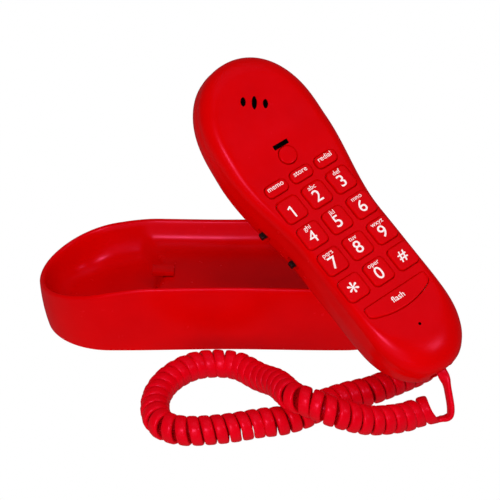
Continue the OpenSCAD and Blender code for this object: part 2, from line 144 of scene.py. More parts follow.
RED = (0.72, 0.0, 0.0)
PINK = (1.0, 0.12, 0.32, 1.0)  # tint of the soft reflections in the red plastic
red_gloss = new_material("red_gloss", RED, 0.25, Specular_IOR_Level=0.4, Specular_Tint=PINK,
                         vary=0.04)
red_satin = new_material("red_satin", (0.6, 0.0, 0.0), 0.42, Specular_Tint=PINK, bump=0.00002)
red_key = new_material("red_key", (0.74, 0.0, 0.0), 0.36, Specular_IOR_Level=0.3,
                       Specular_Tint=PINK, bump=0.000015, vary=0.04)
cord_red = new_material(
    "cord_red", (0.8, 0.0, 0.008), 0.3, Specular_IOR_Level=0.7, Specular_Tint=PINK,
    grain=0.0009, bump=0.00002, patch=0.012)
# The legends glow faintly: painted light, so that the print reads whiter than the lamps make it.
glowing_legend_white = new_material(
    "glowing_legend_white", (1.0, 1.0, 1.0), 0.5, grain=0.0002, patch=0.002, vary=0.02,
    Emission_Color=(1, 1, 1, 1), Emission_Strength=0.12)
black_plastic = new_material("black_plastic", (0.004, 0.004, 0.004), 0.35,
                             Specular_IOR_Level=0.35, bump=0.00003)
# Black without reflections, for the painted shade inside openings
painted_hole_shade = new_material("painted_hole_shade", (0.001, 0.001, 0.001), 1.0, Specular_IOR_Level=0.0)
black_rubber = new_material("black_rubber", (0.02, 0.02, 0.02), 0.75, bump=0.00005)
grey_rubber = new_material("grey_rubber", (0.35, 0.35, 0.36), 0.7, bump=0.00004)
board_green = new_material(
    "board_green", (0.02, 0.16, 0.05), 0.4, patch=0.004, vary=0.35, bump=0.00003)
steel = new_material(
    "steel", (0.62, 0.62, 0.64), 0.3, Metallic=1.0, stretch=(8, 1, 1), bump=0.00001)
capsule_metal = new_material(
    "capsule_metal", (0.78, 0.78, 0.8), 0.25, Metallic=1.0, patch=0.004)
clear_plastic = new_material(
    "clear_plastic", (0.93, 0.96, 0.97), 0.06, Transmission_Weight=0.9, IOR=1.49)


# ---------- mesh helpers ----------


def add_mesh(name, verts, faces, material, slot, smooth_angle=None):
    """A new closed mesh object with outward normals. Edges sharper than smooth_angle
    degrees stay crisp."""
    mesh = bpy.data.meshes.new(name)
    mesh.from_pydata([tuple(v) for v in verts], [], faces)
    tidy = bmesh.new()
    tidy.from_mesh(mesh)
    bmesh.ops.remove_doubles(tidy, verts=tidy.verts, dist=1e-7)
    bmesh.ops.recalc_face_normals(tidy, faces=tidy.faces)
    tidy.to_mesh(mesh)
    tidy.free()
    obj = bpy.data.objects.new(name, mesh)
    bpy.context.scene.collection.objects.link(obj)
    finish_mesh(obj, material, smooth_angle)
    return obj


def finish_mesh(obj, material, smooth_angle=None):
    mesh = obj.data
    mesh.materials.clear()
    if material:
        mesh.materials.append(material)
    mesh.shade_smooth()
    if smooth_angle:
        mesh.set_sharp_from_angle(angle=math.radians(smooth_angle))


def carve(obj, cutters, material, smooth_angle=35):
    """Cuts the cutters, which don't touch each other, out of obj in one go."""
    first = cutters[0]
    with bpy.context.temp_override(
        active_object=first, selected_editable_objects=cutters, selected_objects=cutters
    ):
        if len(cutters) > 1:
            bpy.ops.object.join()
    cut = obj.modifiers.new("cut", "BOOLEAN")
    cut.operation = "DIFFERENCE"
    cut.solver = "EXACT"
    cut.object = first
    bpy.context.view_layer.update()
    seen = obj.evaluated_get(bpy.context.evaluated_depsgraph_get())
    result = bpy.data.meshes.new_from_object(seen)
    obj.modifiers.clear()
    obj.data = result
    result.name = obj.name
    bpy.data.objects.remove(first)
    finish_mesh(obj, material, smooth_angle)


def loft_parts(rings, cross):
    """Verts and faces of a solid through closed rings of equal length. Point i of a ring
    mirrors point n - i, and both ends are closed by a grid of strips straight across."""
    n = len(rings[0])
    half = n // 2
    verts = [Vector(p) for ring in rings for p in ring]
    faces = []
    for r in range(len(rings) - 1):
        a, b = r * n, (r + 1) * n
        for i in range(n):
            j = (i + 1) % n
            faces.append((a + i, b + i, b + j, a + j))
    for start in (0, (len(rings) - 1) * n):
        rows = []
        for i in range(1, half):
            left, right = start + n - i, start + i
            row = [right]
            for k in range(1, cross):
                verts.append(verts[right].lerp(verts[left], k / cross))
                row.append(len(verts) - 1)
            rows.append(row + [left])
        for k in range(cross):
            faces.append((start, rows[0][k], rows[0][k + 1]))
            faces.append((start + half, rows[-1][k + 1], rows[-1][k]))
            for above, below in zip(rows, rows[1:]):
                faces.append((above[k], below[k], below[k + 1], above[k + 1]))
    return verts, faces


def ring_faces(n, count):
    """Faces of a closed solid through count rings of n points each."""
    faces = []
    for r in range(count - 1):
        a, b = r * n, (r + 1) * n
        for i in range(n):
            j = (i + 1) % n
            faces.append((a + i, a + j, b + j, b + i))
    faces.append(tuple(range(n - 1, -1, -1)))
    faces.append(tuple(range((count - 1) * n, count * n)))
    return faces


def stack_parts(outline, levels):
    """Verts and faces of a solid through outline(grow) at each (grow, height)."""
    verts = [Vector((x, y, height)) for grow, height in levels for x, y in outline(grow)]
    return verts, ring_faces(len(outline(0)), len(levels))


def rounded(w, h, r, steps=7):
    """A function of grow that gives a rounded rectangle's outline."""

    def outline(grow):
        points = []
        rr = max(0.05, r + grow)
        for quarter in range(4):
            sx = 1 if quarter in (0, 3) else -1
            sy = 1 if quarter in (0, 1) else -1
            cx, cy = sx * (w / 2 + grow - rr), sy * (h / 2 + grow - rr)
            for k in range(steps + 1):
                a = math.radians(90 * (quarter + k / steps))
                points.append((cx + rr * math.cos(a), cy + rr * math.sin(a)))
        return points

    return outline


def disc(radius, steps=40):
    """A function of grow that gives a circle's outline."""

    def outline(grow):
        r = radius + grow
        return [
            (r * math.cos(math.tau * k / steps), r * math.sin(math.tau * k / steps))
            for k in range(steps)
        ]

    return outline


def placed(parts, place=Matrix.Identity(4)):
    """Parts in metres, after place has moved them."""
    verts, faces = parts
    return [(place @ v) * MM for v in verts], faces


def add_stack(name, outline, levels, place, material, slot, smooth_angle=40):
    """A new mesh object through outline(grow) at each (grow, height)."""
    parts = placed(stack_parts(outline, levels), place)
    return add_mesh(name, *parts, material, slot, smooth_angle)


def add_cutter(outline, levels, place=Matrix.Identity(4)):
    """A stack without a material, to be cut out of a shell."""
    return add_stack("cutter", outline, levels, place, None, None)


def painted_shade_sheet(name, outline, place, low, high, body):
    """Painted shade: a black sheet just inside an opening, standing in for the shade there, so
    that it reads dark.
    """
    liner = add_stack(name, outline, [(-0.05, low), (-0.05, high)], place, painted_hole_shade, None)
    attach(liner, body)


# ---------- cord ----------

COIL_D = 15
CORD_WIDE = 5.6
CORD_THICK = 2.7
CORD_SIDES = 14
COIL_PITCH = 6.1
TURN_STEPS = 18
COIL_R = COIL_D / 2 - CORD_THICK / 2
FOOT_PROUD = 2
LAY_Z = COIL_D / 2 - FOOT_PROUD  # height of the coil's middle where it lies on the table
JACK_Z = 7.8  # height of the base's jack

# The routes of the cord's solids
coil_route = [
    (104, -90, LAY_Z), (96, -93, LAY_Z), (88, -98, 6.5), (71, -105.5, 11), (54, -108, 18),
    (43, -105, 21), (33, -99, 21), (26, -81.5, 15), (17, -67, 8), (6.5, -55, LAY_Z),
    (-4, -52.5, LAY_Z), (-15.5, -54, LAY_Z), (-24.5, -60, LAY_Z), (-31.5, -69, LAY_Z),
    (-35.5, -80.5, LAY_Z), (-35.5, -92.5, LAY_Z), (-32, -101.5, LAY_Z), (-24.5, -106, LAY_Z),
    (-15, -107, LAY_Z), (1, -105, LAY_Z), (17, -101, LAY_Z), (28, -99, LAY_Z),
    (39, -94, LAY_Z), (50, -85.5, LAY_Z), (62, -79.5, LAY_Z), (73, -75.5, LAY_Z),
    (82, -70.5, LAY_Z), (91, -65, LAY_Z), (101, -58, LAY_Z), (110, -48, LAY_Z),
    (114, -36, LAY_Z),
]
handset_tail_route = [
    (107.2, -81.3, 24.4), (108.6, -82.9, 22.9), (110.6, -84.9, 18.6), (112, -88, 13),
    (113, -91, 7.5), (112.8, -92.3, 3.5), (110.8, -92.3, 1.5), (108, -92.6, 1.2),
]
base_tail_route = [
    (114.1, -35.8, LAY_Z), (114.6, -30, LAY_Z), (113, -22.5, LAY_Z + 0.5),
    (108.5, -15, LAY_Z + 1.3), (99, -9.7, JACK_Z), (93.6, -9.5, JACK_Z),
]
SPLIT_AT = 0.24  # share of the coil that stretches when the handset is lifted
SPLINE_STEPS = 12
LINE_STEP = COIL_PITCH / TURN_STEPS
FIRST_ANGLE = math.radians(115)  # the coil starts at the bottom of its first turn
LOOSE_FOR = 22  # length over which the coil's first turns are slanted
SLANT_UP, SLANT_BACK = 2.4, -2.6  # slant of the first turn's top and far side, along the line
LOOSE_TURNING = 0.25  # share by which the loosest turn is stretched out
LAST_TURNING = 0.35  # share of its turning that the coil keeps where it ends
COIL_RUNS_ON = 3  # length by which the coil passes its route's end
END_TURNS = 1.6  # turns over which the coil narrows onto the base's tail


def spline(points):
    """A smooth curve through the points, with SPLINE_STEPS between each pair."""
    p = [Vector(q) for q in points]
    curve = []
    for i in range(len(p) - 1):
        p0, p1, p2 = p[max(0, i - 1)], p[i], p[i + 1]
        p3 = p[min(len(p) - 1, i + 2)]
        for k in range(SPLINE_STEPS):
            u = k / SPLINE_STEPS
            curve.append(0.5 * (
                2 * p1 + (p2 - p0) * u + (2 * p0 - 5 * p1 + 4 * p2 - p3) * u * u
                + (3 * p1 - p0 - 3 * p2 + p3) * u ** 3))
    return curve + [p[-1]]


def length_of(path):
    return sum((b - a).length for a, b in zip(path, path[1:]))


def resampled(curve):
    """Points LINE_STEP apart along the curve, and its last point."""
    out, left = [curve[0]], LINE_STEP
    for a, b in zip(curve, curve[1:]):
        piece = (b - a).length
        at = 0.0
        while piece - at >= left:
            at += left
            left = LINE_STEP
            out.append(a.lerp(b, at / piece))
        left -= piece - at
    return out + [curve[-1]]


def heading(path, i):
    """Direction of the path at its point i."""
    return (path[min(i + 1, len(path) - 1)] - path[max(i - 1, 0)]).normalized()


coil_line = spline(coil_route)
coil_long = length_of(coil_line)
whole_line = resampled(coil_line + spline(base_tail_route)[1:])


def wound(line):
    """Turns the line into the cord's centreline. The cord winds round the line, slanted over
    the first turns, and eases onto it at the base end. Gives the points, and at each the
    direction of the flat cord's thickness."""
    turning = FIRST_ANGLE
    across = (line[1] - line[0]).cross(UP).normalized()
    cord, flats = [], []
    for i, point in enumerate(line):
        ahead = heading(line, i)
        across = (across - ahead * across.dot(ahead)).normalized()
        inside = coil_long + COIL_RUNS_ON - i * LINE_STEP
        grow = ease(inside / (END_TURNS * COIL_PITCH))
        loose = 1 - ease(i * LINE_STEP / LOOSE_FOR)
        if i and inside > 0:
            turning += math.tau / TURN_STEPS * (
                LAST_TURNING + (1 - LAST_TURNING) * grow - LOOSE_TURNING * loose)
        round_it = across * math.cos(turning) + ahead.cross(across) * math.sin(turning)
        slant = SLANT_UP * round_it.z + SLANT_BACK * round_it.y
        cord.append(point + round_it * COIL_R * grow + ahead * loose * slant)
        flats.append(round_it)
    return cord, flats


coil_path, coil_flats = wound(whole_line)
tail_path = resampled(spline(handset_tail_route + [tuple(coil_path[0])]))[:-1]


def tail_flat(share):
    """Direction of the handset tail's thickness: it leaves the plug flat, turns on edge and
    ends flat on the coil."""
    in_plug, on_edge = Vector((-0.12, 0.53, -0.84)), Vector((0.9, 0.35, -0.1))
    flat = in_plug.lerp(on_edge, ease(share / 0.35))
    return flat.lerp(coil_flats[0], ease((share - 0.55) / 0.45)).normalized()


tail_flats = [tail_flat(i / len(tail_path)) for i in range(len(tail_path))]
cord_path, cord_flats = tail_path + coil_path, tail_flats + coil_flats


def tube_mesh(name, path, flats, material, slot):
    """A flat cord along the path, its section a soft-cornered rectangle."""
    verts = []
    for i, point in enumerate(path):
        ahead = heading(path, i)
        thick = (flats[i] - ahead * flats[i].dot(ahead)).normalized()
        wide = ahead.cross(thick)
        for k in range(CORD_SIDES):
            a = math.tau * k / CORD_SIDES
            c, s = math.cos(a), math.sin(a)
            x = math.copysign(abs(c) ** 0.6, c) * CORD_WIDE / 2
            y = math.copysign(abs(s) ** 0.8, s) * CORD_THICK / 2
            verts.append(point + wide * x + thick * y)
    parts = placed((verts, ring_faces(CORD_SIDES, len(path))))
    return add_mesh(name, *parts, material, slot, 60)


split = len(tail_path) + round(SPLIT_AT * coil_long / LINE_STEP)
handset_run = cord_path[: split + 1]
base_run = cord_path[split:]
cord_near_handset = tube_mesh(
    "cord_near_handset", handset_run, cord_flats[: split + 1], cord_red, "cord_pvc")
cord_near_base = tube_mesh(
    "cord_near_base", base_run, cord_flats[split:], cord_red, "cord_pvc")
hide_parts("cord_handset_tail")
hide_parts("cord_coil", "cord_base_tail")
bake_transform(cord_near_handset)
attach(cord_near_base, "root")


# ---------- handset ----------

HANDSET = Matrix.Translation((56.5, -31.8, 81.4)) @ Euler(
    [math.radians(a) for a in (30, -13.5, 34.5)]).to_matrix().to_4x4()
WAIST_HALF, EAR_HALF, MOUTH_HALF = 25.2, 33, 25
BODY_DEEP, FACE_ROUND, WALL = 32, 6, 2.2
MOUTH_END, EAR_END, CAP_AT = -92, 101.5, 58
BEND_ANGLE, BEND_FROM, BEND_RADIUS = 16, 15, 147
BEND_LEN = math.radians(BEND_ANGLE) * BEND_RADIUS
FLARE = 1
PITCH_X, PITCH_Y = 16, 17.2
KEY_PROUD, GAP = 1.2, 0.3


def face_angle(s):
    """Slope of the bent face at s along it."""
    return math.radians(BEND_ANGLE) * clamp01((s - BEND_FROM) / BEND_LEN)


def bent(x, s, h):
    """Handset coordinates of a point x across, s along and h out of the bent face."""
    a, beyond = face_angle(s), max(0, s - BEND_FROM - BEND_LEN)
    bend = math.radians(BEND_ANGLE)
    y = s if s < BEND_FROM else BEND_FROM + BEND_RADIUS * math.sin(a) + beyond * math.cos(bend)
    z = BEND_RADIUS * (1 - math.cos(a)) + beyond * math.sin(bend)
    return Vector((x, y - h * math.sin(a), z + h * math.cos(a)))


def on_face(s, x=0):
    """Placement of something that stands on the face at a distance s along it."""
    return Matrix.Translation(bent(x, s, 0)) @ Matrix.Rotation(face_angle(s), 4, "X")


def half_at(s):
    """Half the handset's width at s along it."""
    return (WAIST_HALF + (EAR_HALF - WAIST_HALF) * ease((s + 5) / 55)
            + (MOUTH_HALF - WAIST_HALF) * ease((-14 - s) / 30))


def seam_at(s):
    """Depth of the seam between the shells below the face."""
    return 15 - 3 * ease(s / CAP_AT) - 3 * ease((-50 - s) / 42)


def deep_at(s):
    """Depth of the back below the face."""
    return BODY_DEEP - 9 * ease((s - 10) / 85) - 4 * ease((-45 - s) / 47)


def round_at(s):
    """Radius of the rounding round the face, softer towards the ends."""
    return FACE_ROUND + 2 * ease((s - 20) / 60) + 3 * ease((-45 - s) / 40)


def dome_at(s):
    """How far in the rounding reaches; at the mouth it runs on into a shallow dome."""
    return round_at(s) + 9 * ease((-48 - s) / 42)


def handset_outline():
    """The right half of the outline, as (along, half width), from mouth to ear."""
    steps, middle = 26, 40
    points = []
    for k in range(steps + 1):
        a = math.radians(90 * (1 - k / steps))
        points.append((-CAP_AT + (MOUTH_END + CAP_AT) * math.sin(a) ** 0.87,
                       half_at(-CAP_AT) * math.cos(a) ** 0.95 if k else 0))
    for k in range(1, middle):
        s = CAP_AT * (2 * k / middle - 1)
        points.append((s, half_at(s)))
    for k in range(steps + 1):
        a = math.radians(90 * k / steps)
        points.append((CAP_AT + (EAR_END - CAP_AT) * math.sin(a) ** 0.87,
                       half_at(CAP_AT) * math.cos(a) ** 0.95 if k < steps else 0))
    return points


OUTLINE = handset_outline()


def pulled(s, f):
    """s, drawn in to share f of its way past CAP_AT."""
    if abs(s) <= CAP_AT:
        return s
    return math.copysign(CAP_AT + (abs(s) - CAP_AT) * f, s)


def ring(share, extra, depth):
    """A ring round the handset. At outline position p it lies at share(p) of the outline,
    grown by extra, and depth(p, s) below the face."""
    right = []
    for along, wide in OUTLINE:
        f = share(along)
        s = pulled(along, f)
        right.append((wide * f + extra * min(1, wide / 10), s, -depth(along, s)))
    ring_points = right + [(-x, s, h) for x, s, h in right[-2:0:-1]]
    return [bent(*p) for p in ring_points]


FACE_ENDS, BACK_STARTS = 0.985, 1.002  # shares of the seam's depth, a gap between the shells
BACK_DEEP = 17  # usual depth of the back below the seam


def seam_ring(inset, t=1.0):
    """A ring at share t of the seam's depth."""
    return ring(lambda p: 1 - inset / EAR_HALF, FLARE, lambda p, s: t * seam_at(s))


def face_rings(inset):
    """Rings over the face's rounded edge."""
    rings = []
    for step in range(0, 91, 9):
        c, d = math.cos(math.radians(step)), math.sin(math.radians(step))
        rings.append(ring(
            lambda p: 1 - (dome_at(p) - (dome_at(p) - inset) * d) / EAR_HALF, 0,
            lambda p, s: inset + (round_at(p) - inset) * (1 - c)))
    return rings


def wall_rings(inset):
    """Side rings between the rounded edge and the seam. They lean out by FLARE."""
    rings = []
    for u in (0.35, 0.65, 0.9, 1):
        rings.append(ring(
            lambda p: 1 - inset / EAR_HALF, FLARE * ease(u),
            lambda p, s: round_at(p) + (FACE_ENDS * seam_at(s) - round_at(p)) * u))
    return rings


def back_rings(inset):
    """Rings that close the back below the seam."""
    rings = []
    for step in range(6, 91, 6):
        a = math.radians(step)
        c, k = math.cos(a) ** 0.5 if step < 90 else 0, math.sin(a) ** 0.5
        t = k * (1 - inset / BACK_DEEP)
        rings.append(ring(
            lambda p: (1 - inset / EAR_HALF) * max(c, 0.32), FLARE * c,
            lambda p, s: seam_at(s) + t * (deep_at(s) - seam_at(s))))
    return rings


GROOVE = 0.35  # width of the step in the seam


def flash_outline(grow):
    """The flash key: a bar with a straight top and a bowed bottom, corners rounded."""
    half, side, bow = 19.2, 5.6, 4.4
    points = []
    corner = 1.4 + grow
    for sx in (1, -1):
        cx, cy = sx * (half + grow - corner), grow - corner
        for k in range(7):
            a = math.radians(90 * k / 6)
            a = a if sx > 0 else math.pi / 2 + a
            points.append((cx + corner * math.cos(a), cy + corner * math.sin(a)))
    for k in range(25):
        u = k / 12 - 1
        x = (half + grow) * u
        drop = side + bow * (1 - u * u) + grow
        if abs(u) > 0.9:
            drop -= 0.9 * ((abs(u) - 0.9) / 0.1) ** 2
        points.append((x, -drop))
    return points


CHAMFER = 0.3
CUT_LEVELS = [(GAP, -9), (GAP, -CHAMFER), (GAP + 2 * CHAMFER, CHAMFER), (GAP + 2 * CHAMFER, 4)]
KNOB_PLACES = {"volume": 19.6, "tone_pulse": -1.7}
KNOB_DEPTH, JACK_DEPTH = 19, 16
DIAL_KEYS = {
    "1": (-1, 1), "2": (0, 1), "3": (1, 1), "4": (-1, 0), "5": (0, 0), "6": (1, 0),
    "7": (-1, -1), "8": (0, -1), "9": (1, -1), "star": (-1, -2), "0": (0, -2),
    "hash": (1, -2),
}
FUNCTION_KEYS = {"memo": -1, "store": 0, "redial": 1}
dial_outline = rounded(12.5, 13.2, 2.5)
function_outline = rounded(12.8, 6.6, 2.6)


def dial_place(key):
    """Placement of a dial key in the keypad's grid."""
    column, row = DIAL_KEYS[key]
    return Matrix.Translation((column * PITCH_X, row * PITCH_Y, 0))


def function_place(key):
    """Placement of a function key in the row above the dial keys."""
    return on_face(31, FUNCTION_KEYS[key] * PITCH_X)


def knob_place(s):
    """Placement of a slide knob in the left side, at s along the handset."""
    return Matrix.Translation((-half_at(s) - FLARE, s, -KNOB_DEPTH))


flash_place = Matrix.Translation((0, -46.6, 0))


def cutter(outline, place, levels=CUT_LEVELS):
    """A cutter placed on the handset, for a key's opening unless levels are given."""
    return add_cutter(outline, levels, HANDSET @ place)


def box_outline(w, h):
    return lambda grow: [(w / 2 + grow, -h / 2 - grow), (w / 2 + grow, h / 2 + grow),
                         (-w / 2 - grow, h / 2 + grow), (-w / 2 - grow, -h / 2 - grow)]


def jack_cutter():
    """The recess for the plug in the mouth end, which both shells share."""
    place = Matrix.Translation((0, -90.5, -JACK_DEPTH))
    return cutter(rounded(14.6, 15, 0.8, 3), place, [(0, -5.3), (0, 5.3)])


def leaf(wide, tall):
    """A pointed oval, the shape of the earpiece slots."""

    def outline(grow):
        points = []
        for k in range(32):
            a = math.tau * k / 32
            c, d = math.cos(a), math.sin(a)
            x = math.copysign(abs(c) ** 1.25, c) * (wide / 2 + grow)
            points.append((x, d * (tall / 2 + grow)))
        return points

    return outline


PLUNGER_AT, SLOT_AT, EAR_HOLES_AT = 43.2, 49.7, 75.3
PLUNGER_R = 4.8
MIC_HOLE, MIC_PLACE = disc(0.8, 16), Matrix.Translation((0, -68, 0))
THROUGH = [(0, -9), (0, 4)]  # levels of a straight cut through the face
HOOK_SLOT = rounded(9.2, 2.6, 0.3, 3)
ear_row = on_face(EAR_HOLES_AT) @ Matrix.Rotation(math.radians(-33), 4, "Z")
EAR_SLOTS = [(ear_row @ Matrix.Translation((i * 6, 0, 0)), leaf(2.9, 5.2 if i else 7.4))
             for i in (-1, 0, 1)]


face_parts = placed(loft_parts(
    face_rings(0) + wall_rings(0) + [seam_ring(GROOVE), seam_ring(WALL)]
    + wall_rings(WALL)[-2::-1] + face_rings(WALL)[::-1], 20), HANDSET)
face_shell = add_mesh("face_shell", *face_parts, red_gloss, "red_plastic")
holes = [cutter(dial_outline, dial_place(key)) for key in DIAL_KEYS]
holes += [cutter(function_outline, function_place(key)) for key in FUNCTION_KEYS]
holes.append(cutter(flash_outline, flash_place))
holes.append(cutter(disc(PLUNGER_R), on_face(PLUNGER_AT)))
for place, outline in EAR_SLOTS:
    holes.append(cutter(outline, place, [(0, -8), (0, 0), (0.3, 0.3), (0.3, 4)]))
holes.append(cutter(MIC_HOLE, MIC_PLACE, THROUGH))
holes.append(jack_cutter())
carve(face_shell, holes, red_gloss)
# The slot runs into the edge of the plunger's hole, so it is cut on its own
carve(face_shell, [cutter(HOOK_SLOT, on_face(SLOT_AT), THROUGH)], red_gloss)
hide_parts("handset_face_shell")
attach(face_shell, "handset")


# Painted shade: black sheets in the earpiece slots, the hook slot and the mic hole make them
# read dark.
for number, (place, outline) in enumerate(EAR_SLOTS):
    painted_shade_sheet("ear_cloth_%d" % number, outline, HANDSET @ place, -2.4, -0.35, "handset")
painted_shade_sheet("hook_slot_dark", HOOK_SLOT, HANDSET @ on_face(SLOT_AT), -3.2, -0.4, "handset")
painted_shade_sheet("mic_dark", MIC_HOLE, HANDSET @ MIC_PLACE, -2.2, -0.2, "handset")

back_parts = placed(loft_parts(
    back_rings(WALL)[::-1] + [seam_ring(WALL, BACK_STARTS), seam_ring(GROOVE, BACK_STARTS)]
    + back_rings(0), 20), HANDSET)
back_shell = add_mesh("back_shell", *back_parts, red_gloss, "red_plastic")
holes = [jack_cutter()]
holes += [cutter(box_outline(9, 8.2), knob_place(s), [(0, -1.8), (0, 1.8)])
          for s in KNOB_PLACES.values()]
carve(back_shell, holes, red_gloss)
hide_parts("handset_back_shell")
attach(back_shell, "handset")


# ---------- keys and legends ----------


def cap_levels(base, top, edge, crown):
    """Levels of a key: straight sides, a rounded edge and a slightly raised middle."""
    levels = [(0, base)]
    for step in range(0, 91, 15):
        a = math.radians(step)
        levels.append((-edge * (1 - math.cos(a)), top - crown - edge * (1 - math.sin(a))))
    return levels + [(-edge - 0.8, top - 0.5 * crown), (-edge - 1.6, top)]


def key_piece(key, outline, place, levels):
    piece = add_stack(
        "cap_" + key, outline, levels, HANDSET @ place, red_key, "red_plastic")
    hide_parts("key_" + key)
    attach(piece, "key_" + key)


LEGEND_LIFT = 0.03  # height of a legend's middle above its key
LEGEND_THICK = 0.02  # half the thickness of a legend


def printed(name, mesh, place, body):
    """A flat legend mesh, moved onto a key that it rides with."""
    mesh.transform(Matrix.Scale(MM, 4) @ HANDSET @ place)
    piece = bpy.data.objects.new(name, mesh)
    bpy.context.scene.collection.objects.link(piece)
    piece.data.materials.append(glowing_legend_white)
    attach(piece, body)


def legend(name, text, size, place, body, thick=0.0):
    """A printed legend, centred on place and a hair above the key."""
    curve = bpy.data.curves.new(name, "FONT")
    curve.body = text
    curve.size = size
    curve.align_x = "CENTER"
    curve.align_y = "CENTER"
    curve.offset = thick
    curve.extrude = LEGEND_THICK
    curve.resolution_u = 4
    shape = bpy.data.objects.new(name + "_curve", curve)
    bpy.context.scene.collection.objects.link(shape)
    bpy.context.view_layer.update()
    seen = shape.evaluated_get(bpy.context.evaluated_depsgraph_get())
    mesh = bpy.data.meshes.new_from_object(seen)
    bpy.data.objects.remove(shape)
    bpy.data.curves.remove(curve)
    mesh.name = name
    printed(name, mesh, place, body)


def digit_one(place):
    """The 1, a bar with a short flag."""
    shape = [(0.45, -3.4), (0.45, 3.4), (-0.3, 3.4), (-2.0, 2.3), (-1.6, 1.6), (-0.45, 2.3),
             (-0.45, -3.4)]
    verts, faces = stack_parts(
        lambda grow: shape, [(0, -LEGEND_THICK), (0, LEGEND_THICK)])
    mesh = bpy.data.meshes.new("digit_1")
    mesh.from_pydata([tuple(v) for v in verts], [], faces)
    printed("digit_1", mesh, place, "key_1")


LETTERS = {"2": "abc", "3": "def", "4": "ghi", "5": "jkl", "6": "mno", "7": "pqrs",
           "8": "tuv", "9": "wxyz", "0": "oper"}
SIGNS = {"star": "*", "hash": "#"}
LEGEND_Z = KEY_PROUD + LEGEND_LIFT
KEY_BASE = -3.5
# Height of each kind of legend, and where its middle lies on the key
DIGIT_SIZE, DIGIT_PLACE = 9.6, (-0.6, -1.2, LEGEND_Z)
STAR_SIZE, STAR_PLACE = 13.5, (-0.6, -2.6, LEGEND_Z)
HASH_SIZE, HASH_PLACE = 8.2, (-0.6, 0.1, LEGEND_Z)
LETTERS_SIZE, LETTERS_PLACE = 3.6, (-0.3, 4.6, LEGEND_Z)
WORD_SIZE, WORD_PLACE = 3.9, (-0.2, 1.2, LEGEND_Z)
FLASH_SIZE, FLASH_PLACE = 4.4, (-0.4, -4.2, 0.65)

for key in DIAL_KEYS:
    place, body = dial_place(key), "key_" + key
    key_piece(key, dial_outline, place, cap_levels(KEY_BASE, KEY_PROUD, 0.7, 0.08))
    if key in SIGNS:
        size, at = (STAR_SIZE, STAR_PLACE) if key == "star" else (HASH_SIZE, HASH_PLACE)
        legend("sign_" + key, SIGNS[key], size, place @ Matrix.Translation(at), body, 0.1)
    elif key == "1":
        digit_one(place @ Matrix.Translation(DIGIT_PLACE))
    else:
        # The 4 is drawn thinner, so that its counter stays open
        legend("digit_" + key, key, DIGIT_SIZE, place @ Matrix.Translation(DIGIT_PLACE),
               body, 0.0 if key == "4" else 0.04)
    if key in LETTERS:
        legend("letters_" + key, LETTERS[key], LETTERS_SIZE,
               place @ Matrix.Translation(LETTERS_PLACE), body)

for key in FUNCTION_KEYS:
    place = function_place(key)
    key_piece(key, function_outline, place, cap_levels(KEY_BASE, KEY_PROUD, 0.7, 0.05))
    legend("word_" + key, key, WORD_SIZE, place @ Matrix.Translation(WORD_PLACE),
           "key_" + key, 0.01)

key_piece("flash", flash_outline, flash_place,
          [(0, KEY_BASE), (0, 0.3), (-0.12, 0.5), (-0.35, 0.6), (-1.2, 0.62)])
legend("word_flash", "flash", FLASH_SIZE, flash_place @ Matrix.Translation(FLASH_PLACE),
       "key_flash", 0.03)

plunger = add_stack("plunger_cap", disc(PLUNGER_R), cap_levels(-3.4, 1.0, 0.5, 0.1),
                    HANDSET @ on_face(PLUNGER_AT), red_gloss, "red_plastic")
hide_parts("hook_plunger")
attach(plunger, "hook_plunger")


def knob_piece(name, s):
    """A black slide knob: a rounded tip with grip ribs, on a stem through the wall."""
    # Each station is a distance inwards from the side, and a share of the knob's section
    stations = [(-2.0, 0.84), (-1.75, 0.97), (-1.5, 1.0)]
    for k in range(3):
        rib = -1.2 + 0.8 * k
        stations += [(rib, 1.0), (rib + 0.15, 0.9), (rib + 0.4, 0.9), (rib + 0.55, 1.0)]
    stations.append((3.4, 1.0))
    section = rounded(3.6, 3.0, 0.5, 4)(0)
    verts = [knob_place(s) @ Vector((x, y * f, z * f)) for x, f in stations
             for y, z in section]
    parts = placed((verts, ring_faces(len(section), len(stations))), HANDSET)
    piece = add_mesh(name + "_tip", *parts, black_plastic, "black_plastic", 40)
    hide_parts(name + "_knob")
    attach(piece, name + "_knob")


for name, s in KNOB_PLACES.items():
    knob_piece(name, s)


# ---------- base ----------

BASE_LEN, BASE_WIDE, RIM_TOP, EAR_DIP, CORD_DIP, FLOOR_TOP = 206, 72.5, 41, 14, 6, 28
BASE_CAP = 40
BASE_FLAT = BASE_LEN / 2 - BASE_CAP
STEP_AT = -33.5
TUCK = 0.07
STEP_BOW = 0.011  # the step is an arc in plan


def base_half(x):
    """Half the base's width, a little waisted in the middle."""
    return BASE_WIDE / 2 - 1.2 * (1 - ease(abs(x) / 57))


def rim_z(x):
    """Height of the rim, which dips towards both ends."""
    return (RIM_TOP - EAR_DIP * clamp01((-x - 40) / 63) ** 1.6
            - CORD_DIP * clamp01((x - 40) / 63) ** 1.6)


def floor_z(x, y=0.0):
    """Height of the cradle's floor, which steps down to the earpiece's hollow."""
    x_step = STEP_AT - x - STEP_BOW * y * y
    return (FLOOR_TOP - 4 * ease((x - 58) / 25) - 7 * ease(x_step / 7.5)
            - 8 * ease((x_step - 5) / 40))


def base_outline():
    """The right half of the base's outline, from its cord end, closer at the step."""
    steps = 26
    points = []
    for k in range(steps + 1):
        a = math.radians(90 * k / steps)
        points.append((BASE_FLAT + BASE_CAP * math.cos(a),
                       base_half(BASE_FLAT) * math.sin(a)))
    x = 60
    while x > -60:
        points.append((x, base_half(x)))
        x -= 1 if -52 < x <= -29 else 4
    for k in range(steps + 1):
        a = math.radians(90 * (1 - k / steps))
        points.append((-BASE_FLAT - BASE_CAP * math.cos(a),
                       base_half(BASE_FLAT) * math.sin(a)))
    return sorted(points, key=lambda p: -p[0])


BASE_OUTLINE = base_outline()


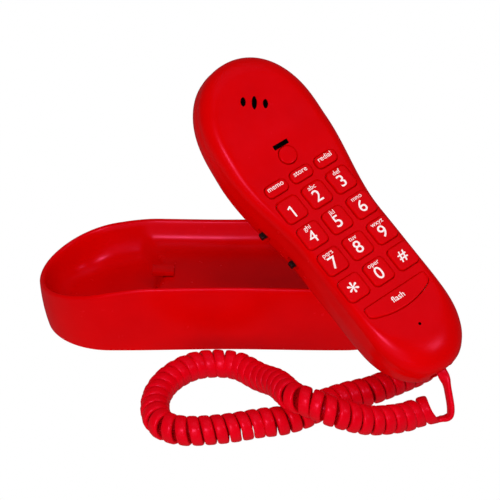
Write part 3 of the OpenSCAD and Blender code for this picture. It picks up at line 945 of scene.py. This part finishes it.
def base_ring(f, level):
    """A ring at share f of the outline. level(x, y, outer x) gives its height."""
    right = []
    for ox, oy in BASE_OUTLINE:
        x = ox if abs(ox) <= BASE_FLAT else math.copysign(
            BASE_FLAT + (abs(ox) - BASE_FLAT) * f, ox)
        right.append(Vector((x, oy * f, level(x, oy * f, ox))))
    right[0].y = 0
    right[-1].y = 0
    return right + [Vector((p.x, -p.y, p.z)) for p in right[-2:0:-1]]


# Shares of the outline, with the height there as a share of the way from floor to rim
CRADLE_LEVELS = [(0.6, 0.0), (0.67, 0.025), (0.74, 0.08), (0.79, 0.17), (0.83, 0.3),
                 (0.86, 0.45), (0.885, 0.62), (0.905, 0.78)]
# Shares of the outline over the rim's rounded edge, with the depth there below the rim
RIM_LEVELS = [(0.922, 1.2), (0.94, 0.35), (0.96, 0.0), (0.978, 0.2), (0.99, 0.7), (0.998, 1.5)]


def base_rings():
    """Rings from the cradle's floor up over the rim and down the tucked-in side."""
    rings = [
        base_ring(f, lambda x, y, o, t=t: floor_z(x, y) + t * (rim_z(o) - floor_z(x, y)))
        for f, t in CRADLE_LEVELS
    ]
    rings += [base_ring(f, lambda x, y, o, d=d: rim_z(o) - d) for f, d in RIM_LEVELS]
    for step in range(0, 21):
        v = 0.93 * (1 - step / 20)
        f = 1 - TUCK * (1 - v) ** 2.2
        rings.append(base_ring(f, lambda x, y, o, v=v: rim_z(o) * v))
    return rings


FLOOR_STRIPS = 22
cradle_rings = base_rings()
cradle_verts, cradle_faces = loft_parts(cradle_rings, FLOOR_STRIPS)
# The grid that closes the first ring is the floor, so it follows the floor's height
ring_size = len(cradle_rings[0])
floor_from = len(cradle_rings) * ring_size
floor_count = (ring_size // 2 - 1) * (FLOOR_STRIPS - 1)
for v in cradle_verts[floor_from : floor_from + floor_count]:
    v.z = floor_z(v.x, v.y)
cradle = add_mesh("cradle", *placed((cradle_verts, cradle_faces)), red_gloss, "red_plastic")


def base_cutter(x0, x1, y0, y1, z0, z1, r=0.4):
    """A box with rounded corners, to be cut out of the base."""
    place = Matrix.Translation(((x0 + x1) / 2, (y0 + y1) / 2, 0))
    return add_cutter(rounded(x1 - x0, y1 - y0, r, 3), [(0, z0), (0, z1)], place)


def plate_outline(grow):
    """Outline of the back plate's recess. It is a fixed size, so grow isn't used."""
    return [(p.x, p.y) for p in base_ring(0.857, lambda x, y, o: 0)][::-1]


TAB_X = -35.2
WINDOW = (-41.6, -38.4, -13.5, -6)  # window beside the hook tab: x from, x to, y from, y to
WINDOW_X, WINDOW_Y = (WINDOW[0] + WINDOW[1]) / 2, (WINDOW[2] + WINDOW[3]) / 2
holes = [
    base_cutter(TAB_X, -29.6, -4.3, 4.3, 23.4, 34),
    base_cutter(*WINDOW, 9, 27.8, 0.6),
    base_cutter(89, 119, -17, 17, -1.5, 13, 1),
]
carve(cradle, holes, red_gloss)
carve(cradle, [add_cutter(plate_outline, [(0, -1), (0, 2.6)])], red_gloss)
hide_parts("base_cradle_shell")
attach(cradle, "root")
# Painted shade: a black sheet in the window beside the hook tab makes it read dark.
painted_shade_sheet("hook_window_dark", rounded(WINDOW[1] - WINDOW[0], WINDOW[3] - WINDOW[2], 0.6, 3),
           Matrix.Translation((WINDOW_X, WINDOW_Y, 0)), 10,
           floor_z(WINDOW_X, WINDOW_Y) - 0.6, "root")

tab_levels = [(-0.4, 0), (-0.1, 0.12), (0, 0.4), (0, 2.3), (-0.1, 2.58), (-0.4, 2.7)]
tab = add_stack("hook_tab_plate", rounded(12, 8.6, 0.8, 5), tab_levels,
                Matrix.Translation((TAB_X, 0, 28.3)), red_gloss, "red_plastic")
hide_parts("hook_tab")
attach(tab, "hook_tab")


# ---------- finishes of the CAD pieces that stay ----------

FINISHES = {
    red_satin: ["base_back_plate"],
    black_plastic: ["base_cord_jack", "line_jack", "handset_cord_jack", "hook_switch",
                    "volume_switch", "tone_pulse_switch", "ringer"],
    black_rubber: ["rubber_feet", "microphone_boot", "receiver_gasket"],
    grey_rubber: ["keypad_membrane"],
    board_green: ["base_circuit_board", "handset_circuit_board"],
    steel: ["base_screws", "handset_screws", "ballast_weight"],
    capsule_metal: ["receiver_capsule", "microphone_capsule"],
    clear_plastic: ["handset_plug", "base_plug"],
}
for material, nodes in FINISHES.items():
    for node in nodes:
        for slot in bpy.data.objects[node].material_slots:
            slot.material = material


# ---------- floor and light ----------

FLOOR_HALF = 4  # metres
floor_mesh = bpy.data.meshes.new("floor")
floor_mesh.from_pydata(
    [(x * FLOOR_HALF, y * FLOOR_HALF, FLOOR_Z) for x, y in ((-1, -1), (1, -1), (1, 1), (-1, 1))],
    [], [(0, 1, 2, 3)])
floor = bpy.data.objects.new("floor", floor_mesh)
bpy.context.scene.collection.objects.link(floor)
floor_white = new_material("floor_white", (0.0, 0.0, 0.0), 1.0, Specular_IOR_Level=0.0,
                           Emission_Color=(1, 1, 1, 1), Emission_Strength=1.0)
floor.data.materials.append(floor_white)
floor.visible_diffuse = False
floor.visible_glossy = False

world = bpy.data.worlds.new("world")
bpy.context.scene.world = world
world.use_nodes = True
world.node_tree.nodes["Background"].inputs["Color"].default_value = (1, 0.3, 0.35, 1)
world.node_tree.nodes["Background"].inputs["Strength"].default_value = 0.2


def area_light(name, place, aim, size, power, glossy=True):
    """A rectangular light, unseen by the camera. Places and sizes are in metres."""
    data = bpy.data.lights.new(name, "AREA")
    data.shape = "RECTANGLE"
    data.size, data.size_y = size
    data.energy = power
    lamp = bpy.data.objects.new(name, data)
    lamp.location = place
    lamp.rotation_euler = (Vector(aim) - Vector(place)).to_track_quat("-Z", "Y").to_euler()
    lamp.visible_glossy = glossy
    lamp.visible_camera = False
    bpy.context.scene.collection.objects.link(lamp)


CENTRE = (0.03, -0.03, 0.05)
area_light("key_light", (-0.1, -0.86, 0.68), CENTRE, (0.14, 0.14), 2.9)
area_light("glint", (0.58, -0.42, 0.65), CENTRE, (0.15, 0.15), 0.6)
area_light("soft_top", (0.2, 0, 1.5), CENTRE, (1.2, 1.2), 5.4, glossy=False)
area_light("soft_front", (-0.35, -1.5, 0.4), CENTRE, (1.2, 0.6), 7.8, glossy=False)
area_light("table_glow", (0, -0.1, FLOOR_Z + 0.0003), (0, -0.1, 1), (1.4, 1.4), 2.6,
           glossy=False)

bpy.context.scene.view_settings.view_transform = "Standard"
